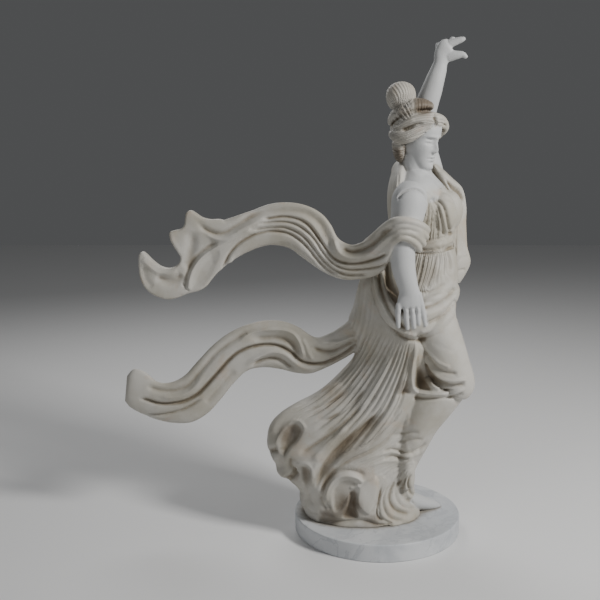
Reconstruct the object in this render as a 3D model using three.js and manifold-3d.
// A dancing maiden in marble on a round plinth: raised far arm, lowered near arm,
// two streaming ends of her mantle, and a wind-blown skirt.
// Millimetres, +Z up. She moves towards +X, and the outlines below are those seen along +Y.
import * as THREE from "three";
import { mergeVertices } from "three/addons/utils/BufferGeometryUtils.js";
import Module from "manifold-3d";

const wasm = await Module();
wasm.setup();

// Driving dimensions
const PLINTH_RADIUS = 340;
const PLINTH_HEIGHT = 73;
const PLINTH_EDGE = 5; // rounding of the plinth's two rims
const SEAT_CLEARANCE = 0.3; // between the plinth's top and the figure's underside
const FIGURE_HEIGHT = 1912; // from the plinth's top to the raised fingers

// The figure is laid out in parts of its own height, and SCALE turns parts into millimetres.
const HEIGHT_IN_PARTS = 1912;
const GROUND_LEVEL = 73; // the level in parts at which the figure is cut flat
const SCALE = FIGURE_HEIGHT / HEIGHT_IN_PARTS;

// Outlines are drawn on the sheet y = 0, and a point at another depth slides along its line of sight.
const EYE = new THREE.Vector3(-320, -3733, 1674);

const MARBLE = { color: 0xb9b4a8, roughness: 0.55, metalness: 0 };
const PLINTH_MARBLE = { color: 0xc4c6c8, roughness: 0.5, metalness: 0 };

const { lerp, smoothstep } = THREE.MathUtils;
const FULL_TURN = 2 * Math.PI;

// The point drawn at (x, z) on the sheet, moved to depth y.
function seen(x, z, y) {
  const onSheet = new THREE.Vector3(x, 0, z);
  return EYE.clone().lerp(onSheet, (y - EYE.y) / (0 - EYE.y));
}

// Rows of equal length, blended smoothly: row k holds at t = k / (rows - 1).
function blend(rows, t) {
  const place = THREE.MathUtils.clamp(t, 0, 1) * (rows.length - 1);
  const k = Math.min(Math.floor(place), rows.length - 2);
  const f = place - k;
  const row = (i) => rows[THREE.MathUtils.clamp(i, 0, rows.length - 1)];
  return row(k).map((b, c) => {
    const [a, d, e] = [row(k - 1)[c], row(k + 1)[c], row(k + 2)[c]];
    return b + 0.5 * f * (d - a + f * (2 * a - 5 * b + 4 * d - e + f * (3 * (b - d) + e - a)));
  });
}

// One closed body: a cylinder whose wall is bent to place(u, v), u once round and v along.
function skin(around, along, place) {
  const body = new THREE.CylinderGeometry(1, 1, 1, around, along);
  const position = body.getAttribute("position");
  const ends = [0, 1].map((v) => {
    const middle = new THREE.Vector3();
    for (let i = 0; i < around; i++) middle.addScaledVector(place(i / around, v), 1 / around);
    return middle;
  });
  for (let i = 0; i < position.count; i++) {
    const [x, y, z] = [position.getX(i), position.getY(i), position.getZ(i)];
    const v = 0.5 - y;
    const turn = Math.round((Math.atan2(x, z) / FULL_TURN) * around);
    const u = ((turn + around) % around) / around;
    const point = Math.hypot(x, z) < 0.5 ? ends[Math.round(v)] : place(u, Math.round(v * along) / along);
    position.setXYZ(i, point.x, point.y, point.z);
  }
  return solid(body);
}

// A closed geometry as a solid with its faces outwards.
function solid(geometry) {
  const bare = geometry.clone();
  bare.deleteAttribute("normal");
  bare.deleteAttribute("uv");
  const merged = mergeVertices(bare, 1e-3);
  const vertProperties = merged.getAttribute("position").array;
  const faces = Array.from(merged.index.array);
  const build = (list) =>
    new wasm.Manifold(new wasm.Mesh({ numProp: 3, vertProperties, triVerts: new Uint32Array(list) }));
  const made = build(faces);
  if (made.volume() > 0) return made;
  return build(faces.map((_, i) => faces[i - (i % 3) + [0, 2, 1][i % 3]]));
}

// A limb along rows of [x, z, depth, half width across the sheet, half width in depth].
// An upright limb runs into the depth, so its first half width is its height.
function limb(rows, { around = 12, along = 10, upright = false, carve = () => 0 } = {}) {
  const centre = (v) => {
    const [x, z, y] = blend(rows, v);
    return seen(x, z, y);
  };
  const reference = upright ? new THREE.Vector3(0, 0, 1) : new THREE.Vector3(0, 1, 0);
  const step = 0.02;
  return skin(around, along, (u, v) => {
    const [, , , half, deep] = blend(rows, v);
    const run = centre(Math.min(v + step, 1)).sub(centre(Math.max(v - step, 0))).normalize();
    const across = run.clone().cross(reference).normalize();
    const other = run.clone().cross(across).normalize();
    const [wide, tall] = upright ? [deep, half] : [half, deep];
    const swell = 1 + carve(u, v) / Math.max(half, deep);
    return centre(v)
      .addScaledVector(across, wide * swell * Math.cos(FULL_TURN * u))
      .addScaledVector(other, tall * swell * Math.sin(FULL_TURN * u));
  });
}

// A body in level slices, rows of [z, left x, right x, near y, far y, fullness of the left end].
function slices(rows, { around = 24, along = 12, carve = () => 0 } = {}) {
  return skin(around, along, (u, v) => {
    const [z, left, right, near, far, tail] = blend(rows, v);
    const [c, s] = [Math.cos(FULL_TURN * u), Math.sin(FULL_TURN * u)];
    const share = (1 + Math.sign(c) * Math.abs(c) ** 0.9) / 2;
    const deep = (s > 0 ? near : far) * Math.abs(s) ** 0.85 * lerp(tail, 1, smoothstep(share, 0.05, 0.65));
    const out = carve(u, v);
    return new THREE.Vector3(lerp(left, right, share) + 0.6 * out * c, deep - out * s, z);
  });
}

// A streaming band of cloth, rows of [top x, top z, bottom x, bottom z, depth, thickness].
function band(rows, { around = 24, along = 24, pleats, pleatDepth }) {
  return skin(around, along, (u, v) => {
    const [topX, topZ, bottomX, bottomZ, depth, thickness] = blend(rows, v);
    const [c, s] = [Math.cos(FULL_TURN * u), Math.sin(FULL_TURN * u)];
    const share = (1 - c) / 2;
    const body = (thickness / 2) * Math.sign(s) * Math.abs(s) ** 0.6;
    const edge = Math.sin(Math.PI * share) ** 0.5;
    const wave = pleatDepth * edge * Math.cos(FULL_TURN * pleats * share);
    return seen(lerp(topX, bottomX, share), lerp(topZ, bottomZ, share), depth - body + wave);
  });
}

// Ripples: count ridges round the body, growing from the top of the piece to its hem.
const ripples = (count, top, hem, lean = 0) => (u, v) =>
  lerp(top, hem, v ** 1.3) * Math.cos(FULL_TURN * (count * u + lean * v));

// The torso leans back and turns a little towards the viewer.
const TURN = THREE.MathUtils.degToRad(-21);
const LEAN = 0.13;
const FORWARD = new THREE.Vector3(Math.cos(TURN), Math.sin(TURN), 0);
const SIDEWAYS = new THREE.Vector3(-Math.sin(TURN), Math.cos(TURN), 0);

// Rows of [z, x, y, half width across the shoulders, half depth].
const TORSO = [
  [1130, 193, 4, 128, 102],
  [1195, 192, 7, 118, 94],
  [1245, 188, 10, 124, 98],
  [1295, 182, 12, 134, 106],
  [1340, 172, 13, 142, 106],
  [1385, 160, 13, 150, 94],
  [1425, 148, 12, 138, 76],
  [1455, 138, 10, 92, 62],
  [1480, 132, 8, 58, 54],
];

function torso() {
  const trunk = skin(20, 9, (u, v) => {
    const [z, x, y, half, deep] = blend(TORSO, v);
    const [c, s] = [Math.cos(FULL_TURN * u), Math.sin(FULL_TURN * u)];
    const gathers = 3 * Math.cos(FULL_TURN * 5 * u) * (1 - v);
    return new THREE.Vector3(x, y, z + LEAN * deep * c)
      .addScaledVector(FORWARD, (deep + gathers) * c)
      .addScaledVector(SIDEWAYS, (half + gathers) * s);
  });
  const breast = (side) =>
    ball(new THREE.Vector3(174, 12, 1322).addScaledVector(FORWARD, 66).addScaledVector(SIDEWAYS, side), [56, 58, 62]);
  return [trunk, breast(-64), breast(64)];
}

// An ellipsoid with the half lengths given.
function ball(centre, [a, b, c], around = 10, rings = 7) {
  const body = new THREE.SphereGeometry(1, around, rings);
  body.scale(a, c, b).rotateX(Math.PI / 2);
  body.translate(centre.x, centre.y, centre.z);
  return solid(body);
}

const SKIRT = [
  [1175, 60, 290, -118, 125, 1],
  [1120, 5, 300, -130, 140, 0.9],
  [1060, -70, 304, -145, 150, 0.75],
  [1000, -92, 304, -160, 160, 0.7],
  [940, -105, 300, -172, 165, 0.7],
  [880, -125, 290, -180, 170, 0.65],
  [820, -110, 280, -184, 175, 0.65],
  [765, -95, 270, -184, 180, 0.65],
  [715, -109, 255, -184, 182, 0.65],
  [673, -144, 245, -184, 184, 0.6],
  [627, -189, 235, -184, 186, 0.55],
  [589, -232, 225, -182, 188, 0.5],
  [555, -280, 215, -180, 190, 0.5],
  [526, -335, 208, -178, 190, 0.5],
  [485, -400, 198, -176, 190, 0.55],
  [440, -440, 186, -176, 190, 0.65],
  [390, -454, 174, -178, 190, 0.75],
  [340, -452, 160, -178, 188, 0.85],
  [290, -424, 148, -176, 186, 0.9],
  [248, -410, 138, -175, 184, 0.95],
  [208, -352, 134, -175, 182, 1],
  [165, -322, 142, -178, 180, 1],
  [115, -318, 160, -182, 178, 1],
  [73, -300, 178, -184, 176, 1],
];

// Pockets under the curling hem: centre, half lengths and the turn about the depth axis.
const HEM_POCKETS = [
  [[-385, -50, 372], [62, 120, 34], 52],
  [[-308, -110, 215], [48, 110, 26], 62],
  [[-175, -185, 120], [60, 70, 36], 20],
];

function skirt() {
  const cloth = slices(SKIRT, { around: 40, along: 14, carve: ripples(10, 3, 17, 0.5) });
  return HEM_POCKETS.reduce((body, [centre, halves, turn]) => {
    const pocket = new THREE.SphereGeometry(1, 9, 6);
    pocket.scale(...halves).rotateY(THREE.MathUtils.degToRad(turn));
    pocket.translate(...centre);
    return body.subtract(solid(pocket));
  }, cloth);
}

const THIGH = [
  [179, 994, -60, 112, 112],
  [206, 880, -75, 100, 106],
  [249, 777, -90, 90, 98],
  [275, 702, -100, 88, 90],
  [301, 648, -108, 80, 82],
  [314, 610, -110, 72, 76],
  [300, 572, -110, 52, 64],
];
const SHIN = [
  [314, 614, -105, 58, 64],
  [254, 530, -100, 56, 62],
  [196, 445, -90, 51, 58],
  [161, 367, -80, 46, 54],
  [131, 298, -70, 41, 50],
  [114, 242, -62, 37, 46],
  [113, 189, -55, 37, 46],
  [120, 130, -45, 42, 50],
];
const FOOT = [
  [120, 120, -40, 40, 40],
  [180, 104, 0, 30, 34],
  [232, 94, 28, 20, 24],
  [262, 86, 42, 9, 12],
];

const SWAG = [
  [-11, 1115, 20, 30, 30],
  [-10, 1051, -60, 36, 34],
  [16, 970, -118, 46, 36],
  [65, 905, -158, 56, 36],
  [129, 878, -172, 60, 36],
  [193, 897, -160, 58, 36],
  [246, 938, -112, 52, 36],
  [276, 978, -50, 46, 34],
  [282, 1003, 20, 40, 34],
  [258, 1019, 90, 36, 34],
];

const MANTLE = [
  [1498, 186, 216, 100, 190],
  [1448, 205, 270, 85, 200],
  [1404, 225, 312, 76, 200],
  [1341, 235, 327, 68, 195],
  [1263, 242, 330, 64, 185],
  [1179, 246, 337, 60, 176],
  [1118, 250, 353, 60, 168],
  [1070, 256, 338, 60, 160],
  [1030, 264, 316, 64, 150],
];

// The mantle across her back, from the far shoulder down to the near elbow.
const BACK_DRAPE = [
  [190, 1480, 160, 40, 50],
  [120, 1500, 118, 34, 40],
  [74, 1490, 66, 26, 50],
  [62, 1450, 24, 29, 70],
  [56, 1400, -14, 32, 84],
  [55, 1345, -52, 31, 84],
  [59, 1290, -92, 30, 68],
  [66, 1235, -130, 28, 50],
];

// The mantle's cloth over the far shoulder, drawn on the sheet and hung at its own depth.
function farMantle() {
  const depths = (v) => blend(MANTLE, v).slice(3, 5);
  return skin(14, 8, (u, v) => {
    const [z, left, right] = blend(MANTLE, v);
    const [near, far] = depths(v);
    const [c, s] = [Math.cos(FULL_TURN * u), Math.sin(FULL_TURN * u)];
    const fold = 5 * Math.cos(FULL_TURN * 4 * u) * Math.sin(Math.PI * v);
    const y = lerp(near, far, (1 + s) / 2);
    return seen(lerp(left, right, (1 + c) / 2) + fold * c, z, y + fold * s);
  });
}

const UPPER_STREAMER = [
  [-745, 1290, -739, 1003, -60, 40],
  [-701, 1286, -695, 1015, -60, 46],
  [-654, 1278, -654, 1059, -62, 50],
  [-595, 1290, -590, 1119, -64, 50],
  [-516, 1318, -518, 1159, -68, 50],
  [-438, 1345, -439, 1183, -72, 50],
  [-359, 1351, -367, 1171, -78, 52],
  [-289, 1337, -320, 1139, -85, 54],
  [-234, 1306, -276, 1107, -92, 56],
  [-198, 1263, -233, 1079, -100, 56],
  [-170, 1211, -185, 1055, -110, 56],
  [-122, 1185, -133, 1043, -122, 56],
  [-75, 1195, -77, 1047, -135, 58],
  [-28, 1227, -22, 1059, -150, 70],
  [15, 1263, 21, 1091, -165, 100],
  [73, 1294, 60, 1175, -178, 134],
  [140, 1290, 91, 1199, -182, 140],
  [182, 1255, 119, 1191, -182, 130],
  [180, 1195, 139, 1163, -180, 100],
];
const LOWER_STREAMER = [
  [-1022, 648, -1034, 543, 30, 44],
  [-993, 677, -1010, 513, 30, 50],
  [-948, 665, -954, 483, 30, 52],
  [-901, 625, -901, 462, 28, 52],
  [-848, 621, -836, 449, 26, 52],
  [-791, 648, -762, 453, 24, 52],
  [-733, 711, -696, 492, 22, 52],
  [-671, 777, -642, 551, 20, 52],
  [-606, 827, -588, 619, 18, 52],
  [-537, 860, -535, 669, 15, 52],
  [-464, 878, -474, 684, 12, 52],
  [-392, 876, -401, 677, 8, 52],
  [-328, 852, -336, 661, 4, 54],
  [-260, 810, -275, 659, 0, 56],
  [-199, 827, -207, 686, 0, 60],
  [-147, 860, -138, 723, 0, 66],
  [-96, 900, -78, 761, 0, 80],
  [-32, 905, -22, 790, 0, 90],
];

// The three points in which the upper streamer ends.
const STREAMER_POINTS = [
  [
    [-640, 1232, -62, 42, 24],
    [-690, 1252, -60, 40, 22],
    [-730, 1276, -58, 32, 18],
    [-750, 1298, -56, 18, 12],
    [-757, 1313, -56, 6, 8],
  ],
  [
    [-640, 1190, -62, 62, 22],
    [-715, 1195, -58, 68, 20],
    [-775, 1190, -54, 66, 18],
    [-812, 1200, -50, 44, 14],
    [-830, 1214, -48, 16, 8],
  ],
  [
    [-684, 1096, -62, 42, 24],
    [-722, 1062, -62, 60, 24],
    [-778, 1040, -66, 70, 26],
    [-846, 1028, -70, 66, 28],
    [-902, 1045, -72, 56, 24],
    [-935, 1085, -72, 34, 18],
    [-944, 1120, -72, 24, 14],
    [-947, 1148, -72, 8, 8],
  ],
];

function streamers() {
  return [
    band(UPPER_STREAMER, { pleats: 2, pleatDepth: 8, around: 16, along: 18 }),
    band(LOWER_STREAMER, { pleats: 2, pleatDepth: 9, around: 16, along: 17 }),
    ...STREAMER_POINTS.map((rows) => limb(rows, { around: 8, along: 6 })),
  ];
}

const NEAR_UPPER_ARM = [
  [122, 1415, -118, 48, 46],
  [111, 1365, -146, 68, 60],
  [104, 1310, -160, 64, 60],
  [94, 1243, -175, 56, 54],
  [83, 1191, -182, 49, 48],
];
const NEAR_FOREARM = [
  [83, 1203, -182, 49, 48],
  [86, 1143, -186, 48, 45],
  [91, 1091, -190, 45, 41],
  [104, 1039, -194, 40, 35],
  [115, 999, -197, 38, 28],
  [118, 962, -200, 46, 22],
  [120, 926, -203, 50, 19],
];
const NEAR_FINGERS = [
  [
    [76, 942, -204, 14, 12],
    [73, 905, -206, 13, 12],
    [73, 872, -206, 12, 11],
    [76, 846, -204, 8, 8],
  ],
  [
    [100, 942, -204, 14, 12],
    [104, 905, -208, 13, 12],
    [109, 868, -208, 12, 11],
    [113, 838, -205, 8, 8],
  ],
  [
    [124, 942, -204, 14, 12],
    [130, 905, -208, 13, 12],
    [135, 868, -208, 12, 11],
    [137, 834, -205, 8, 8],
  ],
  [
    [146, 946, -204, 14, 12],
    [152, 909, -206, 13, 12],
    [157, 880, -206, 12, 11],
    [160, 850, -203, 8, 8],
  ],
  [
    [144, 984, -200, 18, 14],
    [166, 942, -200, 15, 13],
    [179, 897, -200, 13, 12],
    [188, 854, -198, 8, 8],
  ],
];

const FAR_ARM = [
  [212, 1400, 150, 50, 55],
  [186, 1497, 172, 46, 50],
  [158, 1593, 172, 44, 46],
  [154, 1661, 158, 46, 46],
  [168, 1729, 140, 45, 42],
  [183, 1774, 134, 42, 38],
  [197, 1819, 130, 37, 34],
  [209, 1856, 130, 32, 27],
  [216, 1884, 130, 28, 22],
  [225, 1912, 130, 36, 20],
  [241, 1934, 130, 42, 20],
  [254, 1944, 130, 36, 16],
];
const FAR_FINGERS = [
  [
    [244, 1950, 128, 17, 14],
    [276, 1963, 124, 14, 13],
    [295, 1969, 120, 11, 11],
    [308, 1974, 118, 6, 7],
  ],
  [
    [238, 1908, 128, 26, 18],
    [272, 1911, 120, 18, 15],
    [300, 1913, 114, 12, 11],
    [316, 1900, 112, 7, 7],
  ],
  [
    [212, 1926, 134, 13, 14],
    [208, 1946, 146, 14, 13],
    [214, 1944, 164, 11, 11],
  ],
  [
    [236, 1940, 134, 14, 14],
    [234, 1958, 146, 14, 13],
    [240, 1954, 166, 11, 11],
  ],
  [
    [258, 1948, 134, 14, 14],
    [260, 1966, 146, 14, 13],
    [266, 1960, 166, 11, 11],
  ],
];

const finger = (rows) => limb(rows, { around: 6, along: 4 });

function arms() {
  return [
    limb(NEAR_UPPER_ARM, { around: 10, along: 5 }),
    limb(NEAR_FOREARM, { around: 10, along: 7 }),
    limb(FAR_ARM, { around: 10, along: 11 }),
    ...NEAR_FINGERS.map(finger),
    ...FAR_FINGERS.map(finger),
  ];
}

const NECK = [
  [130, 1400, 10, 70, 72],
  [128, 1450, 8, 54, 58],
  [127, 1497, 4, 50, 53],
  [127, 1550, 0, 52, 54],
];

// The head turns further towards the viewer than the chest, and bows.
const FACE_TURN = THREE.MathUtils.degToRad(-33);
const FACE_BOW = THREE.MathUtils.degToRad(10);
const HEAD_CENTRE = new THREE.Vector3(130, 4, 1606);

// A point of the head: forward of the ears, towards her left, and up from the eyes' level.
function onHead(forward, left, up) {
  return new THREE.Vector3(forward, left, up)
    .applyAxisAngle(new THREE.Vector3(0, 1, 0), FACE_BOW)
    .applyAxisAngle(new THREE.Vector3(0, 0, 1), FACE_TURN)
    .add(HEAD_CENTRE);
}

// Rows of [level, middle, half width, half depth] of the head, from the chin to the crown.
const SKULL = [
  [-118, 62, 14, 16],
  [-106, 54, 34, 36],
  [-80, 34, 54, 58],
  [-45, 16, 66, 74],
  [0, 6, 73, 86],
  [40, 0, 75, 90],
  [75, -4, 64, 78],
  [98, -6, 36, 46],
  [104, -6, 12, 16],
];

function head() {
  const skull = skin(14, 9, (u, v) => {
    const [level, middle, half, deep] = blend(SKULL, v);
    return onHead(middle + deep * Math.cos(FULL_TURN * u), half * Math.sin(FULL_TURN * u), level);
  });
  const nose = skin(6, 3, (u, v) => {
    const [level, front, half] = blend(
      [
        [22, 84, 7],
        [-20, 98, 10],
        [-36, 100, 14],
        [-42, 88, 10],
      ],
      v,
    );
    const reach = 0.5 + 0.5 * Math.cos(FULL_TURN * u);
    return onHead(lerp(60, front, reach), half * Math.sin(FULL_TURN * u), level);
  });
  return [skull, nose];
}

const SIDE_HAIR = [
  [186, 1644, -50, 18, 14],
  [159, 1630, -62, 28, 20],
  [121, 1611, -72, 36, 24],
  [83, 1600, -68, 34, 24],
  [62, 1604, -40, 26, 22],
  [54, 1619, -10, 18, 20],
];
const FRONT_CURL = [
  [186, 1664, -2, 24, 26],
  [210, 1666, 20, 26, 26],
  [232, 1652, 38, 22, 22],
  [236, 1636, 50, 15, 18],
  [222, 1620, 66, 12, 14],
];
const FAR_HAIR = [
  [226, 1632, 56, 22, 18],
  [190, 1610, 84, 30, 22],
  [140, 1596, 92, 34, 24],
  [88, 1600, 72, 32, 24],
  [62, 1612, 30, 24, 24],
];
const NAPE_HAIR = [
  [62, 1590, -14, 26, 40],
  [64, 1555, -16, 26, 42],
  [66, 1526, -16, 19, 32],
  [70, 1508, -16, 9, 16],
];
const BUN = [
  [14, 1737, 20, 16, 16],
  [26, 1741, 20, 38, 38],
  [46, 1749, 20, 53, 52],
  [68, 1757, 20, 56, 55],
  [92, 1766, 20, 50, 49],
  [112, 1773, 20, 34, 34],
  [122, 1776, 20, 14, 14],
];
const BUN_STEM = [
  [92, 1690, 16, 46, 46],
  [84, 1722, 18, 30, 32],
  [74, 1750, 20, 30, 32],
];
const DIADEM = [
  [27, 1650, 0, 9, 14],
  [39, 1678, 0, 15, 30],
  [69, 1708, 0, 21, 50],
  [107, 1728, 0, 24, 62],
  [149, 1732, 4, 21, 58],
  [186, 1724, 6, 12, 40],
];

function hair() {
  const lock = { around: 8, along: 6 };
  return [
    limb(SIDE_HAIR, { ...lock, carve: (u) => 2 * Math.cos(FULL_TURN * 3 * u) }),
    limb(FRONT_CURL, lock),
    limb(FAR_HAIR, lock),
    limb(NAPE_HAIR, lock),
    limb(BUN, { around: 12, along: 7 }),
    limb(BUN_STEM, { around: 8, along: 3 }),
    limb(DIADEM, { around: 8, along: 7 }),
  ];
}

// The figure as one carved piece, cut flat at the ground and set on the plinth.
function figure() {
  const pieces = [
    ...torso(),
    skirt(),
    limb(THIGH, { around: 14, along: 8 }),
    limb(SHIN, { around: 12, along: 7 }),
    limb(FOOT, { around: 8, along: 4 }),
    limb(SWAG, { around: 8, along: 12, upright: true }),
    farMantle(),
    limb(BACK_DRAPE, { around: 10, along: 9 }),
    ...streamers(),
    ...arms(),
    limb(NECK, { around: 10, along: 3 }),
    ...head(),
    ...hair(),
  ];
  const whole = pieces.reduce((sum, piece) => sum.add(piece));
  const belowGround = new THREE.BoxGeometry(2000, 2000, 400).translate(0, 0, GROUND_LEVEL - 200);
  const cut = whole.subtract(solid(belowGround)).getMesh();
  const geometry = new THREE.BufferGeometry();
  geometry.setAttribute("position", new THREE.BufferAttribute(new Float32Array(cut.vertProperties), 3));
  geometry.setIndex(new THREE.BufferAttribute(new Uint32Array(cut.triVerts), 1));
  const mesh = new THREE.Mesh(geometry, new THREE.MeshStandardMaterial(MARBLE));
  mesh.name = "figure";
  mesh.scale.setScalar(SCALE);
  mesh.position.z = PLINTH_HEIGHT + SEAT_CLEARANCE - GROUND_LEVEL * SCALE;
  return mesh;
}

// The plinth: a disc with softened rims.
function plinth() {
  const profile = new THREE.Path();
  profile.moveTo(0, 0);
  profile.lineTo(PLINTH_RADIUS - PLINTH_EDGE, 0);
  profile.absarc(PLINTH_RADIUS - PLINTH_EDGE, PLINTH_EDGE, PLINTH_EDGE, -Math.PI / 2, 0, false);
  profile.absarc(PLINTH_RADIUS - PLINTH_EDGE, PLINTH_HEIGHT - PLINTH_EDGE, PLINTH_EDGE, 0, Math.PI / 2, false);
  profile.lineTo(0, PLINTH_HEIGHT);
  const disc = new THREE.LatheGeometry(profile.getPoints(1), 56);
  disc.rotateX(Math.PI / 2);
  const mesh = new THREE.Mesh(disc, new THREE.MeshStandardMaterial(PLINTH_MARBLE));
  mesh.name = "plinth";
  return mesh;
}

const statue = new THREE.Group();
statue.add(plinth(), figure());

export default statue;
